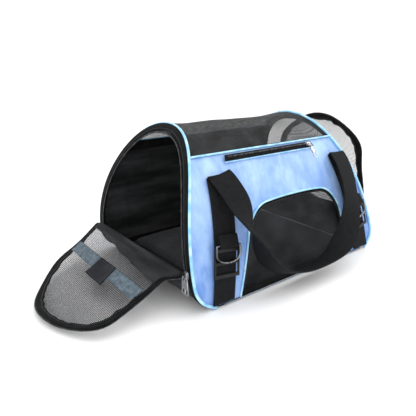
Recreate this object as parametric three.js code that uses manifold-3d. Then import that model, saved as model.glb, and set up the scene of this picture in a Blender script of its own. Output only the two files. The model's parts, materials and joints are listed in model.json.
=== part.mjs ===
import * as THREE from 'three';
import { mergeVertices } from 'three/addons/utils/BufferGeometryUtils.js';
import Module from 'manifold-3d';

const wasm = await Module();
wasm.setup();

// Soft tunnel carrier. Millimetres. X runs along the bag, front door at -X, near side at -Y, base at Z = 0.

// Body envelope
const bagLength = 430;          // base, end to end
const bagHalfWidth = 151;       // at the base
const bagHeight = 253;
const wallRise = 136;           // height and half width of the curve handle above the base
const wallHalfWidth = 141;
const crownHalfWidth = 101;     // curve handle beside the crown
const cornerRadius = 43;        // rounding of the ends into the base
const frontSetback = 54;        // how far the crown stands in from the base, front end
const frontSlope = -0.266;      // start of the front end's curve: negative bellies outwards
const rearSetback = 98;
const rearSlope = 0.221;
const seamFraction = 0.65;      // where the roof mesh starts, along the wall's curve

// Cloth, board and clearances
const gap = 0.4;
const wallThickness = 2.2;
const meshThickness = 1.2;
const pipingRadius = 2.2;
const seamPipingRadius = 1.7;
const seamLap = 0.004;          // share of the wall's curve left for the seam piping, each way
const meshDepthOut = 0.5;       // window mesh, behind the panel's face
const edgeMargin = 3.0;         // from an end piping's middle to the cloth beside it
const basePanelThickness = 2.0;
const boardThickness = 3.0;
const matThickness = 8.0;
const boardInset = 9;
const matInset = 3;             // a mat's edge inside the board's
const baseReach = 6;            // base cloth beyond the start of the rounded ends
const baseRound = 6;            // corner roundings of the base cloth, the board and the mat
const boardRound = 10;
const matRound = 16;
const clothGap = 0.2;           // between cloths that are sewn to the same edge

// Ends and doors
const sillHeight = 57;
const doorInset = 14;           // from the wall's curve to the zip line
const zipHalf = 2.6;            // width of each zip half
const zipThickness = 1.8;
const bandThickness = 2.4;
const bandFoot = 6;             // where the end band starts, above the piping's middle
const hoopRadius = 1.5;
const hoopDepth = 7;            // from the wall's curve to the wire's middle
const hoopReach = 0.93;         // share of the arch that the wire follows, each way from the crown
const bindingWidth = 9;
const hingeStripHeight = 28;
const stripThickness = 1.4;
const doorGap = 0.8;            // from the hinge line down to the sill's cloth
const doorFootGap = 1.4;        // from the hinge line up to a door's cloth
const doorMeshTop = 0.965;      // where a door's mesh stops under the binding, along the wall's curve
const frontTipHeight = 7;       // the open front door's edge above the floor
const rearTilt = 4;             // degrees that the rear door leans out past upright
const bandHeight = 68;          // webbing band on the front door, above the sill
const bandWidth = 24;
const patchWidth = 50;
const patchHeight = 38;
const patchRise = 6;            // the patch's middle beyond the band's middle
const patchThickness = 1.6;
const tapeThickness = 1.2;      // grey band on the door, and the pocket's welt

// Side window and pocket
const windowBaseHalf = 136;
const windowShoulderHalf = 108;
const windowShoulderHeight = 100;
const windowHeight = 138;
const windowCrownHalf = 60;
const windowShoulderRound = 16;
const windowCentre = -3;
const cutterReach = 20;         // how far a cutting block runs past the walls
const pocketLength = 198;
const pocketCentre = -22;
const pocketHeight = 9;
const pocketDrop = 3;           // below the roof seam, along the wall
const pocketSliderInset = 12;   // the closed slider, from the pocket's end
const frontSliderDepth = 5;     // on the band, clear of the open door's edge
const frontSliderRise = 7;      // above the sill
const rearSliderHeight = 152;

// Webbing and hardware
const webbingWidth = 40;
const webbingThickness = 2.2;
const strapFootFront = 190;     // from the bag's middle to a strap's outer edge, at the base
const strapFootRear = 188;
const strapTopFront = 168;      // the same at its top
const strapTopRear = 144;
const strapTopDrop = 28;        // from the roof seam down to the top of a strap
const handleDrop = 168;         // from the handle's sewn ends to the bottom of its loop
const handleStandOff = 29;      // the hanging loop's middle, out from the wall
const handleFloor = 8;          // the lowest place on the wall that the loop follows, above the piping
const glideHeight = 67;
const glideOverhang = 3.5;      // a glide's side beyond the webbing
const glideTall = 44;
const glideThickness = 2.2;
const glideBar = 6;
const ringHeight = 92;
const ringDepth = 27;
const ringWire = 3.2;
const ringStandOff = 1.6;       // spare room between a glide and the ring that hangs over it
const tabCloth = 1.5;
const tabNarrowing = 3;         // a ring tab's side inside the webbing
const tabTail = 16;             // a ring tab's length above the wire
const handleSink = 6;           // a handle's sewn end below the top of its strap
const sliderLength = 10;
const sliderWidth = 6;
const sliderThickness = 3.2;
const pullLength = 25;
const pullWidth = 6;
const pullThickness = 1.4;
const pullTaper = 1;            // a pull's side drawn in at its tip
const pullHole = 1.5;           // radius

const looks = {
  blue: [0xaac8f5, 0.55, 0], piping: [0xb9ebff, 0.4, 0], black: [0x17181b, 0.8, 0],
  mesh: [0x24262a, 0.9, 0], webbing: [0x131416, 0.85, 0], plastic: [0x1a1b1d, 0.4, 0],
  steel: [0xc9ccd0, 0.3, 1], board: [0x2a2a2c, 0.8, 0], band: [0x66737c, 0.85, 0],
};

const model = new THREE.Group();

function addMesh(name, geometry, look, parent = model) {
  const [color, roughness, metalness] = looks[look];
  const mesh = new THREE.Mesh(geometry, new THREE.MeshStandardMaterial({ color, roughness, metalness }));
  mesh.name = name;
  parent.add(mesh);
  return mesh;
}

// ---- closed solids ----

function bareMerged(geometry) {
  const bare = geometry.clone();
  bare.deleteAttribute('normal');
  bare.deleteAttribute('uv');
  return mergeVertices(bare, 1e-4);
}

function signedVolume(geometry) {
  const p = geometry.getAttribute('position');
  const index = geometry.getIndex();
  const [a, b, c] = [new THREE.Vector3(), new THREE.Vector3(), new THREE.Vector3()];
  let total = 0;
  for (let i = 0; i < index.count; i += 3) {
    a.fromBufferAttribute(p, index.getX(i));
    b.fromBufferAttribute(p, index.getX(i + 1));
    c.fromBufferAttribute(p, index.getX(i + 2));
    total += a.dot(b.cross(c)) / 6;
  }
  return total;
}

// Merges a geometry's vertices and turns its faces outwards.
function closed(geometry) {
  const merged = bareMerged(geometry);
  if (signedVolume(merged) < 0) {
    const index = merged.getIndex().array;
    for (let i = 0; i < index.length; i += 3) [index[i], index[i + 1]] = [index[i + 1], index[i]];
  }
  return merged;
}

// A box of nu by nv by nw cells whose unit coordinates (0 to 1) are mapped to points in space.
function mappedBox(nu, nv, nw, place) {
  const box = new THREE.BoxGeometry(1, 1, 1, nu, nv, nw);
  const p = box.getAttribute('position');
  for (let i = 0; i < p.count; i++) {
    p.setXYZ(i, ...place(p.getX(i) + 0.5, p.getY(i) + 0.5, p.getZ(i) + 0.5));
  }
  return closed(box);
}

function toManifold(geometry) {
  const g = closed(geometry);
  return new wasm.Manifold(new wasm.Mesh({
    numProp: 3,
    vertProperties: new Float32Array(g.getAttribute('position').array),
    triVerts: new Uint32Array(g.getIndex().array),
  }));
}

function fromManifold(solid) {
  const mesh = solid.getMesh();
  const geometry = new THREE.BufferGeometry();
  geometry.setAttribute('position', new THREE.BufferAttribute(new Float32Array(mesh.vertProperties), 3));
  geometry.setIndex(new THREE.BufferAttribute(new Uint32Array(mesh.triVerts), 1));
  return geometry;
}

// A round cord through points in space.
function cordAlong(points, radius, steps, sides = 8) {
  const outline = new THREE.Shape();
  outline.absarc(0, 0, radius, 0, 2 * Math.PI);
  const path = new THREE.CatmullRomCurve3(points.map((q) => new THREE.Vector3(...q)), false, 'centripetal');
  const settings = { steps, extrudePath: path, curveSegments: sides / 2, bevelEnabled: false };
  return closed(new THREE.ExtrudeGeometry(outline, settings));
}

// ---- the body's surfaces ----

const lerp = THREE.MathUtils.lerp;
const footZ = pipingRadius + clothGap;
const crownZ = bagHeight - pipingRadius;
const wallCurve = new THREE.CubicBezierCurve(
  new THREE.Vector2(bagHalfWidth, footZ), new THREE.Vector2(wallHalfWidth, wallRise),
  new THREE.Vector2(crownHalfWidth, crownZ), new THREE.Vector2(0, crownZ));

// Half width and height on the wall's curve, moved inwards by depth.
function wallPoint(t, depth = 0) {
  const q = wallCurve.getPoint(t);
  const d = wallCurve.getTangent(t);
  return [q.x - depth * d.y, q.y + depth * d.x];
}

function wallParameter(height, depth = 0) {
  let [low, high] = [0, 1];
  for (let i = 0; i < 40; i++) {
    const mid = (low + high) / 2;
    if (wallPoint(mid, depth)[1] < height) low = mid; else high = mid;
  }
  return (low + high) / 2;
}

// s runs from -1 at the near foot over the crown at 0 to 1 at the far foot.
function archPoint(s, depth = 0) {
  const [y, z] = wallPoint(1 - Math.abs(s), depth);
  return [s < 0 ? -y : y, z];
}

// How far an end (-1 front, 1 rear) stands in from the bag's length at a height, less a margin at its edge.
function endRun(end, z, margin = 0) {
  const [slope, setback] = end < 0 ? [frontSlope, frontSetback] : [rearSlope, rearSetback];
  const bend = (setback - slope * bagHeight) / bagHeight ** 2;
  const drop = Math.max(cornerRadius - Math.max(z, 0), 0);
  const corner = cornerRadius - Math.sqrt(Math.max((cornerRadius - margin) ** 2 - drop ** 2, 0));
  return slope * z + bend * z * z + corner;
}

function endX(end, z, margin = 0) {
  return end * (bagLength / 2 - endRun(end, z, margin));
}

function endPoint(end, z, depth) {
  const rise = 0.5;
  const run = (endRun(end, z + rise) - endRun(end, Math.max(z - rise, 0))) / (z > rise ? 2 * rise : z + rise);
  const length = Math.hypot(1, run);
  return [endX(end, z) - end * depth / length, z - depth * run / length];
}

// ---- base ----

const seamZ = wallPoint(seamFraction)[1];
const baseHalfLength = bagLength / 2 - cornerRadius + baseReach;
const baseHalfWidth = bagHalfWidth - edgeMargin;
const boardZ = basePanelThickness + gap;
const matZ = boardZ + boardThickness + gap;

function roundedSlab(halfX, halfY, radius, bottom, thickness) {
  const s = new THREE.Shape();
  s.moveTo(-halfX + radius, -halfY);
  s.lineTo(halfX - radius, -halfY);
  s.absarc(halfX - radius, -halfY + radius, radius, -Math.PI / 2, 0);
  s.absarc(halfX - radius, halfY - radius, radius, 0, Math.PI / 2);
  s.absarc(-halfX + radius, halfY - radius, radius, Math.PI / 2, Math.PI);
  s.absarc(-halfX + radius, -halfY + radius, radius, Math.PI, 1.5 * Math.PI);
  const slab = new THREE.ExtrudeGeometry(s, { depth: thickness, bevelEnabled: false, curveSegments: 6 });
  slab.translate(0, 0, bottom);
  return closed(slab);
}

// A slab of the base's outline, drawn in by an inset.
function baseLayer(name, inset, radius, bottom, thickness, look) {
  addMesh(name, roundedSlab(baseHalfLength - inset, baseHalfWidth - inset, radius, bottom, thickness), look);
}

baseLayer('base_panel', 0, baseRound, 0, basePanelThickness, 'black');
baseLayer('base_board', boardInset, boardRound, boardZ, boardThickness, 'board');
baseLayer('floor_mat', boardInset + matInset, matRound, matZ, matThickness, 'black');

// ---- side panels, windows, roof ----

// A sheet of the wall between two curve parameters, reaching from end to end less a margin.
function wallSheet(side, tLow, tHigh, depthOut, depthIn, margin, cells = [20, 12]) {
  return mappedBox(cells[0], 1, cells[1], (u, v, w) => {
    const t = lerp(tLow, tHigh, w);
    const [y, z] = wallPoint(t, lerp(depthOut, depthIn, v));
    const edgeZ = wallPoint(t)[1];
    return [lerp(endX(-1, edgeZ, margin), endX(1, edgeZ, margin), u), side * y, z];
  });
}

function windowOutline(shrink) {
  const base = windowBaseHalf - shrink;
  const shoulder = windowShoulderHalf - shrink;
  const top = windowHeight - shrink;
  const s = new THREE.Shape();
  const [crownSide, crownPull, cornerPull] = [top - 1, top + 3, top - 2];
  const cornerX = shoulder - windowShoulderRound;
  const shoulderZ = windowShoulderHeight - shrink;
  s.moveTo(windowCentre - base, -cutterReach);
  s.lineTo(windowCentre - base, 0);
  s.lineTo(windowCentre - shoulder, shoulderZ);
  s.quadraticCurveTo(windowCentre - cornerX, cornerPull, windowCentre - windowCrownHalf, crownSide);
  s.quadraticCurveTo(windowCentre, crownPull, windowCentre + windowCrownHalf, crownSide);
  s.quadraticCurveTo(windowCentre + cornerX, cornerPull, windowCentre + shoulder, shoulderZ);
  s.lineTo(windowCentre + base, 0);
  s.lineTo(windowCentre + base, -cutterReach);
  return s;
}

// The outline in X and Z, extruded across the whole of one side.
function sideCutter(side, shape) {
  const settings = { depth: bagHalfWidth, bevelEnabled: false, curveSegments: 8 };
  const block = new THREE.ExtrudeGeometry(shape, settings);
  block.rotateX(Math.PI / 2);
  block.translate(0, side > 0 ? bagHalfWidth + cutterReach : -cutterReach, 0);
  return toManifold(block);
}

const tFoot = wallParameter(footZ + pipingRadius + gap);
const sides = [['near', -1], ['far', 1]];

for (const [label, side] of sides) {
  const sheet = (depth, thickness) => toManifold(
    wallSheet(side, tFoot, seamFraction - seamLap, depth, depth + thickness, edgeMargin));
  const panel = sheet(0, wallThickness);
  const hasWindow = side < 0;
  const cut = hasWindow ? panel.subtract(sideCutter(side, windowOutline(0))) : panel;
  addMesh(`${label}_side_panel`, fromManifold(cut), 'blue');
  if (!hasWindow) continue;
  const net = sheet(meshDepthOut, meshThickness).intersect(sideCutter(side, windowOutline(gap)));
  addMesh(`${label}_window_mesh`, fromManifold(net), 'mesh');
}

addMesh('roof_mesh', mappedBox(20, 22, 1, (u, v, w) => {
  const reach = 1 - seamFraction - seamLap;
  const s = lerp(-reach, reach, v);
  const [y, z] = archPoint(s, clothGap + meshThickness * w);
  const edgeZ = archPoint(s)[1];
  return [lerp(endX(-1, edgeZ, edgeMargin), endX(1, edgeZ, edgeMargin), u), y, z];
}), 'mesh');

// ---- pipings ----

const standOff = seamPipingRadius + gap + clothGap;
const seamSteps = 12;
const rimSteps = 56;
const archSteps = 60;

for (const [label, side] of sides) {
  const [seamY, seamOutZ] = wallPoint(seamFraction, -standOff);
  const footX = bagLength / 2 - cornerRadius - 2 * edgeMargin;
  const seam = [];
  const foot = [];
  for (let i = 0; i <= seamSteps; i++) {
    const along = i / seamSteps;
    const seamX = lerp(endX(-1, seamZ, 2 * edgeMargin), endX(1, seamZ, 2 * edgeMargin), along);
    seam.push([seamX, side * seamY, seamOutZ]);
    foot.push([lerp(-footX, footX, along), side * bagHalfWidth, footZ]);
  }
  addMesh(`${label}_seam_piping`, cordAlong(seam, seamPipingRadius, seamSteps), 'piping');
  addMesh(`${label}_base_piping`, cordAlong(foot, pipingRadius, seamSteps), 'piping');

  if (side > 0) continue;
  const outline = windowOutline(0).getSpacedPoints(archSteps).filter((q) => q.y > footZ + 2 * pipingRadius);
  const rim = outline.map((q) => {
    const [y, z] = wallPoint(wallParameter(q.y), -standOff);
    return [q.x, side * y, z];
  });
  addMesh(`${label}_window_piping`, cordAlong(rim, seamPipingRadius, rimSteps), 'piping');
}

// ---- ends: piping, band, hoop, sill, zips ----

const ends = [['front', -1], ['rear', 1]];

// A strip round an end's arch between two depths from the wall's curve, from one height up and over.
function endStrip(end, depthOut, depthIn, fromHeight, back, thickness, cells = 44) {
  const start = 1 - wallParameter(fromHeight, depthOut);
  return mappedBox(cells, 1, 1, (u, v, w) => {
    const [y, z] = archPoint(lerp(-start, start, u), lerp(depthOut, depthIn, v));
    return [endX(end, z) - end * lerp(back, back + thickness, w), y, z];
  });
}

const zipOut = doorInset - gap / 2 - zipHalf;
const pipingSetback = 0.5;
const hoopSteps = 48;
for (const [label, end] of ends) {
  const arch = [];
  for (let i = 0; i <= archSteps; i++) {
    const [y, z] = archPoint(lerp(-1, 1, i / archSteps));
    arch.push([endX(end, z) - end * pipingSetback, y, z]);
  }
  addMesh(`${label}_end_piping`, cordAlong(arch, pipingRadius, archSteps + 4), 'piping');
  const bandStrip = endStrip(end, edgeMargin, zipOut - gap, footZ + bandFoot, 0, bandThickness);
  addMesh(`${label}_end_band`, bandStrip, 'black');
  const zipStrip = endStrip(end, zipOut, zipOut + zipHalf, sillHeight + gap, gap, zipThickness);
  addMesh(`${label}_bag_zip`, zipStrip, 'black');

  const hoopBack = bandThickness + hoopRadius + gap + 0.3;
  const hoop = [];
  for (let i = 0; i <= hoopSteps; i++) {
    const [y, z] = archPoint(lerp(-hoopReach, hoopReach, i / hoopSteps), hoopDepth);
    hoop.push([endX(end, z) - end * hoopBack, y, z]);
  }
  addMesh(`${label}_hoop`, cordAlong(hoop, hoopRadius, hoopSteps, 6), 'steel');

  const sillDepth = zipOut + gap / 2;
  const sillFoot = footZ + 1;
  addMesh(`${label}_sill`, mappedBox(1, 12, 12, (u, v, w) => {
    const z = lerp(sillFoot, sillHeight - doorGap, w ** 1.5);   // rows are closest in the rounded foot
    const half = wallPoint(wallParameter(z, sillDepth), sillDepth)[0] - gap;
    const [x, lift] = endPoint(end, z, lerp(0, bandThickness, u));
    return [x, lerp(-half, half, v), Math.max(lift, basePanelThickness + clothGap)];
  }), 'black');
}

// ---- doors ----

const doorDepth = doorInset + gap / 2;
const doorTop = wallPoint(1, doorDepth)[1];

function doorHinge(end) {
  return new THREE.Vector3(endX(end, sillHeight), 0, sillHeight);
}

// Angle from upright of the closed door's chord, towards the inside.
function closedLean(end) {
  const hinge = doorHinge(end);
  return Math.atan2((hinge.x - endX(end, doorTop)) * end, doorTop - hinge.z);
}

const doorChord = (end) => Math.hypot(doorHinge(end).x - endX(end, doorTop), doorTop - sillHeight);
const frontSwing = closedLean(-1) + Math.PI / 2 + Math.asin((sillHeight - frontTipHeight) / doorChord(-1));
const rearSwing = closedLean(1) + THREE.MathUtils.degToRad(rearTilt);

// Turns a closed door's geometry about its hinge to where it stands open.
function opened(end, geometry) {
  const hinge = doorHinge(end);
  const swing = end < 0 ? -frontSwing : rearSwing;
  geometry.translate(-hinge.x, 0, -hinge.z);
  geometry.rotateY(swing);
  geometry.translate(hinge.x, 0, hinge.z);
  return geometry;
}

const doorMeshBack = gap + clothGap;
const doorFoot = sillHeight + doorFootGap;
const stripTop = doorFoot + hingeStripHeight;

// The door's cloth between two heights: rows across, each as wide as the arch at that depth.
function doorCloth(end, depth, low, high, back, thickness, rows) {
  const tLow = wallParameter(low, depth);
  const tHigh = wallParameter(high, depth);
  return opened(end, mappedBox(1, 8, rows, (u, v, w) => {
    const [half, z] = wallPoint(lerp(tLow, tHigh, w), depth);
    return [endX(end, z) - end * lerp(back, back + thickness, u), lerp(-half, half, v), z];
  }));
}

for (const [label, end] of ends) {
  const meshDepth = doorDepth + zipHalf + gap + bindingWidth + gap;
  const clothTop = wallPoint(doorMeshTop, meshDepth)[1];
  const strip = doorCloth(end, meshDepth, doorFoot, stripTop, gap, stripThickness, 3);
  const net = doorCloth(end, meshDepth, stripTop + gap, clothTop, doorMeshBack, meshThickness, 16);
  const zip = endStrip(end, doorDepth, doorDepth + zipHalf, doorFoot, gap, zipThickness);
  const binding = endStrip(end, doorDepth + zipHalf + gap, meshDepth - gap, doorFoot, 0, bandThickness);
  addMesh(`${label}_door_strip`, strip, 'black');
  addMesh(`${label}_door_mesh`, net, 'mesh');
  addMesh(`${label}_door_zip`, opened(end, zip), 'black');
  addMesh(`${label}_door_binding`, opened(end, binding), 'black');
}

// A strip across the front door's inner face.
function frontDoorPatch(low, high, halfLimit, back, thickness) {
  const depth = doorDepth + zipHalf + 2 * gap + bindingWidth;
  return opened(-1, mappedBox(1, 6, 3, (u, v, w) => {
    const z = lerp(low, high, w);
    const half = Math.min(wallPoint(wallParameter(z, depth), depth)[0] - gap, halfLimit);
    return [endX(-1, z) + lerp(back, back + thickness, u), lerp(-half, half, v), z];
  }));
}

const bandLow = sillHeight + bandHeight - bandWidth / 2;
const bandBack = doorMeshBack + meshThickness + gap;
const band = frontDoorPatch(bandLow, bandLow + bandWidth, bagHalfWidth, bandBack, tapeThickness);
addMesh('front_door_webbing', band, 'band');
const patchLow = sillHeight + bandHeight + patchRise - patchHeight / 2;
const patchBack = bandBack + tapeThickness + gap;
const patch = frontDoorPatch(patchLow, patchLow + patchHeight, patchWidth / 2, patchBack, patchThickness);
addMesh('front_door_patch', patch, 'black');

// ---- pocket ----

const pocketTop = seamFraction - seamLap - pocketDrop / wallCurve.getLength();
const pocketLow = pocketTop - pocketHeight / wallCurve.getLength();
addMesh('pocket_zip', mappedBox(16, 1, 3, (u, v, w) => {
  const [y, z] = wallPoint(lerp(pocketLow, pocketTop, w), -(gap + tapeThickness * v));
  return [pocketCentre + lerp(-pocketLength / 2, pocketLength / 2, u), -y, z];
}), 'black');

// A frame on a wall: X along the bag, Y up the wall, Z outwards, turned by lean about Z.
function wallFrame(x, height, side, lean, depth = 0) {
  const t = wallParameter(height);
  const [y, z] = wallPoint(t, depth);
  const d = wallCurve.getTangent(t);
  const up = new THREE.Vector3(0, side * d.x, d.y);
  const out = new THREE.Vector3(0, side * d.y, -d.x);
  const along = new THREE.Vector3().crossVectors(up, out);
  const frame = new THREE.Matrix4().makeBasis(along, up, out);
  frame.setPosition(x, side * y, z);
  return frame.multiply(new THREE.Matrix4().makeRotationZ(lean));
}

function wallGroup(frame) {
  const group = new THREE.Group();
  frame.decompose(group.position, group.quaternion, group.scale);
  model.add(group);
  return group;
}

// A slider body with its pulls side by side. A pull turns about its root, which lies over the slider's face.
function addSlider(name, frame, pulls) {
  const group = wallGroup(frame);
  const body = new THREE.BoxGeometry(sliderLength, sliderWidth, sliderThickness);
  addMesh(`${name}_slider`, closed(body), 'steel', group);
  const tipHalf = pullWidth / 2 - pullTaper;
  const shoulder = -pullLength + pullWidth / 2;
  const tab = new THREE.Shape();
  tab.moveTo(-pullWidth / 2, 0);
  tab.lineTo(-tipHalf, shoulder);
  tab.quadraticCurveTo(0, 2 * (-pullLength + pullTaper / 4) - shoulder, tipHalf, shoulder);
  tab.lineTo(pullWidth / 2, 0);
  const hole = new THREE.Path();
  hole.absarc(0, shoulder + pullHole + gap, pullHole, 0, 2 * Math.PI, true);
  tab.holes.push(hole);
  const pullOut = sliderThickness / 2 + gap;
  const settings = { depth: pullThickness, bevelEnabled: false, curveSegments: 6 };
  pulls.forEach((pullName, i) => {
    const pull = new THREE.ExtrudeGeometry(tab, settings);
    pull.translate((i - (pulls.length - 1) / 2) * (pullWidth + gap), -sliderWidth / 2, pullOut);
    addMesh(pullName, closed(pull), 'steel', group);
  });
}

const pocketMid = wallPoint((pocketLow + pocketTop) / 2)[1];
const pocketSliderX = pocketCentre + pocketLength / 2 - pocketSliderInset;
const pocketSliderOut = 2 * gap + tapeThickness + sliderThickness / 2;
addSlider('pocket', wallFrame(pocketSliderX, pocketMid, -1, 0, -pocketSliderOut), ['pocket_pull']);

// ---- door sliders ----

// A frame on an end: X across the bag, Y up the end, Z outwards.
function endFrame(end, s, depth, out) {
  const [y, z] = archPoint(s, depth);
  const up = new THREE.Vector3(endX(end, z + 1) - endX(end, z - 1), 0, 2).normalize();
  const across = new THREE.Vector3(0, end, 0);
  const outwards = new THREE.Vector3().crossVectors(across, up);
  const frame = new THREE.Matrix4().makeBasis(across, up, outwards);
  frame.setPosition(endX(end, z) + end * out, y, z);
  return frame;
}

const sliderOut = sliderThickness / 2 + gap;
const frontSliderS = 1 - wallParameter(sillHeight + frontSliderRise, frontSliderDepth);
const frontSliderOut = sliderOut + pipingRadius - pipingSetback;   // level with the end piping
addSlider('front', endFrame(-1, -frontSliderS, frontSliderDepth, frontSliderOut),
  ['front_pull_left', 'front_pull_right']);
const rearSliderS = 1 - wallParameter(rearSliderHeight, zipOut);
addSlider('rear', endFrame(1, -rearSliderS, zipOut, sliderOut), ['rear_pull']);

// ---- webbing straps, glides, rings, handles ----

const strapDepth = gap + clothGap / 2;
const strapTopHeight = seamZ - strapTopDrop;
const glideWidth = webbingWidth + 2 * glideOverhang;
const tabWidth = webbingWidth - 2 * tabNarrowing;
const strapFootZ = footZ + 2 * pipingRadius;
const strapFoot = (end) => (end < 0 ? strapFootFront : strapFootRear) - webbingWidth / 2;
const strapTop = (end) => (end < 0 ? strapTopFront : strapTopRear) - webbingWidth / 2;

function strapX(end, height) {
  return end * lerp(strapFoot(end), strapTop(end), (height - strapFootZ) / (strapTopHeight - strapFootZ));
}

function traceRing(path, half, top, bottom) {
  const bend = bottom + half * 0.75;
  path.moveTo(-half, top);
  path.lineTo(-half, bend);
  path.bezierCurveTo(-half, bottom, half, bottom, half, bend);
  path.lineTo(half, top);
  path.closePath();
  return path;
}

for (const [label, side] of sides) {
  for (const [endLabel, end] of ends) {
    const name = `${label}_${endLabel}`;
    addMesh(`${name}_strap`, mappedBox(1, 1, 14, (u, v, w) => {
      const height = lerp(strapFootZ, strapTopHeight, w);
      const [y, z] = wallPoint(wallParameter(height), -lerp(strapDepth, strapDepth + webbingThickness, v));
      return [strapX(end, height) + lerp(-webbingWidth / 2, webbingWidth / 2, u), side * y, z];
    }), 'webbing');

    const lean = -side * end * Math.atan2(strapFoot(end) - strapTop(end), strapTopHeight - strapFootZ);
    const glideOut = strapDepth + webbingThickness + gap + 3 * clothGap;
    const glide = wallGroup(wallFrame(strapX(end, glideHeight), glideHeight, side, lean, -glideOut));
    const plate = new THREE.Shape();
    plate.moveTo(-glideWidth / 2, -glideTall / 2);
    plate.lineTo(glideWidth / 2, -glideTall / 2);
    plate.lineTo(glideWidth / 2, glideTall / 2);
    plate.lineTo(-glideWidth / 2, glideTall / 2);
    const slotHalf = webbingWidth / 2;
    const endBar = glideBar * 0.75;
    for (const way of [-1, 1]) {
      const slot = new THREE.Path();
      const [near, far] = [way * glideBar / 2, way * (glideTall / 2 - endBar)];
      slot.moveTo(-slotHalf, near);
      slot.lineTo(-slotHalf, far);
      slot.lineTo(slotHalf, far);
      slot.lineTo(slotHalf, near);
      plate.holes.push(slot);
    }
    const slide = new THREE.ExtrudeGeometry(plate, { depth: glideThickness, bevelEnabled: false });
    addMesh(`${name}_glide`, closed(slide), 'plastic', glide);

    const ringOut = glideOut + glideThickness + gap + ringWire / 2 + ringStandOff;
    const ringGroup = wallGroup(wallFrame(strapX(end, ringHeight), ringHeight, side, lean, -ringOut));
    const ringHalf = webbingWidth / 2;
    const ring = traceRing(new THREE.Shape(), ringHalf + ringWire, ringWire / 2, -ringDepth - ringWire);
    ring.holes.push(traceRing(new THREE.Path(), ringHalf, -ringWire / 2, -ringDepth));
    const wire = new THREE.ExtrudeGeometry(ring, { depth: ringWire, bevelEnabled: false, curveSegments: 10 });
    wire.translate(0, 0, -ringWire / 2);
    addMesh(`${name}_ring`, closed(wire), 'steel', ringGroup);

    const tab = new THREE.Shape();
    const outer = ringWire * 0.75 + gap + tabCloth;   // clears the wire's corners as the ring turns
    tab.absarc(0, 0, outer, Math.PI, 2 * Math.PI);
    tab.lineTo(outer, tabTail / 4);
    tab.lineTo(-outer + 2 * tabCloth, tabTail);
    tab.lineTo(-outer, tabTail);
    const eye = new THREE.Path();
    eye.absarc(0, 0, outer - tabCloth, 0, 2 * Math.PI, true);
    tab.holes.push(eye);
    const loop = new THREE.ExtrudeGeometry(tab, { depth: tabWidth, bevelEnabled: false, curveSegments: 10 });
    loop.translate(0, 0, -tabWidth / 2);
    loop.rotateY(Math.PI / 2);
    loop.scale(1, 1, -1);
    addMesh(`${name}_ring_tab`, closed(loop), 'webbing', ringGroup);
  }

  // The handle hangs from the tops of its two straps; its webbing lies flat there and turns edge out below.
  const handleTopZ = strapTopHeight - handleSink;
  const sewnOut = 2 * webbingThickness + 5 * gap;
  const loopPoint = (u) => {
    const across = lerp(-strapTop(-1), strapTop(1), (1 - Math.cos(Math.PI * u)) / 2);
    const sink = Math.sin(Math.PI * u) ** 0.8;
    const height = Math.max(handleTopZ - handleDrop * sink, footZ + handleFloor);
    const [y, z] = wallPoint(wallParameter(height), -lerp(sewnOut, handleStandOff, sink ** 0.5));
    return new THREE.Vector3(across, side * y, z);
  };
  addMesh(`${label}_handle`, mappedBox(44, 2, 1, (u, v, w) => {
    const nudge = 0.01;
    const ahead = loopPoint(Math.min(u + nudge, 1)).sub(loopPoint(Math.max(u - nudge, 0))).normalize();
    const out = new THREE.Vector3(0, side, 0);
    const turn = Math.sin(Math.PI * u) ** 0.7 * Math.PI / 2;
    const flat = new THREE.Vector3().crossVectors(ahead, out).normalize().multiplyScalar(-side);
    const width = flat.multiplyScalar(Math.cos(turn)).addScaledVector(out, Math.sin(turn)).normalize();
    const normal = new THREE.Vector3().crossVectors(ahead, width).normalize();
    const place = loopPoint(u).addScaledVector(width, webbingWidth * (v - 0.5));
    return place.addScaledVector(normal, webbingThickness * (w - 0.5)).toArray();
  }), 'webbing');
}

export default model;
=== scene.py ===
import bpy, bmesh, json, math
import numpy as np
from mathutils import Matrix, Vector, noise

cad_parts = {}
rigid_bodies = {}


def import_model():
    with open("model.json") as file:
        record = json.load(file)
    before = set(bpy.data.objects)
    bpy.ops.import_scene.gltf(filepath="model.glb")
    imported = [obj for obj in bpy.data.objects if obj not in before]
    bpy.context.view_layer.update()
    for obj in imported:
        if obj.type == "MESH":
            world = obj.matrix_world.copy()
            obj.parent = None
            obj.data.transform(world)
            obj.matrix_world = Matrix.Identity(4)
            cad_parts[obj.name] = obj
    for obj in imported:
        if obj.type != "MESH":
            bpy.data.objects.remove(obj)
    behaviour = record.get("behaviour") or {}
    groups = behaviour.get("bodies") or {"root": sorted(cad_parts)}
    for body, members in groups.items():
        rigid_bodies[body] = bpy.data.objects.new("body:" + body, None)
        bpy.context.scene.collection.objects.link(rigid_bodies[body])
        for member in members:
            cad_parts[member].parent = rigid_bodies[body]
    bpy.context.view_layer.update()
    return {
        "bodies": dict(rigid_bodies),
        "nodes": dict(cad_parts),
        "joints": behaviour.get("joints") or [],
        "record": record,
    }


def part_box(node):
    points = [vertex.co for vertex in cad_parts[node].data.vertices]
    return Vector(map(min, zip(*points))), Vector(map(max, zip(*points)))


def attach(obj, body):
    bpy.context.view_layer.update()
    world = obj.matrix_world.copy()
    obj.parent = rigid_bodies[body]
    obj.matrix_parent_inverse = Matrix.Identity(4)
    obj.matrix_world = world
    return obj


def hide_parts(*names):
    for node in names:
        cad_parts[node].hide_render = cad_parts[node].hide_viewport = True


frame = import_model()
print("frame loaded")


cameraSet = {"place": (-.5422, -.5930, .3466), "yaw": 37.8, "pitch": 18.5, "lens": 38.5}
lightSet = {
    "world": 1.14,
    "key": {"place": (-1.5, -1.9, 2.1), "size": 3.0, "power": 22},
    "rim": {"place": (1.7, -.6, 1.5), "size": 1.4, "power": 12},
    "top": {"place": (.1, .3, 2.6), "size": 2.4, "power": 14},
}

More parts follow.
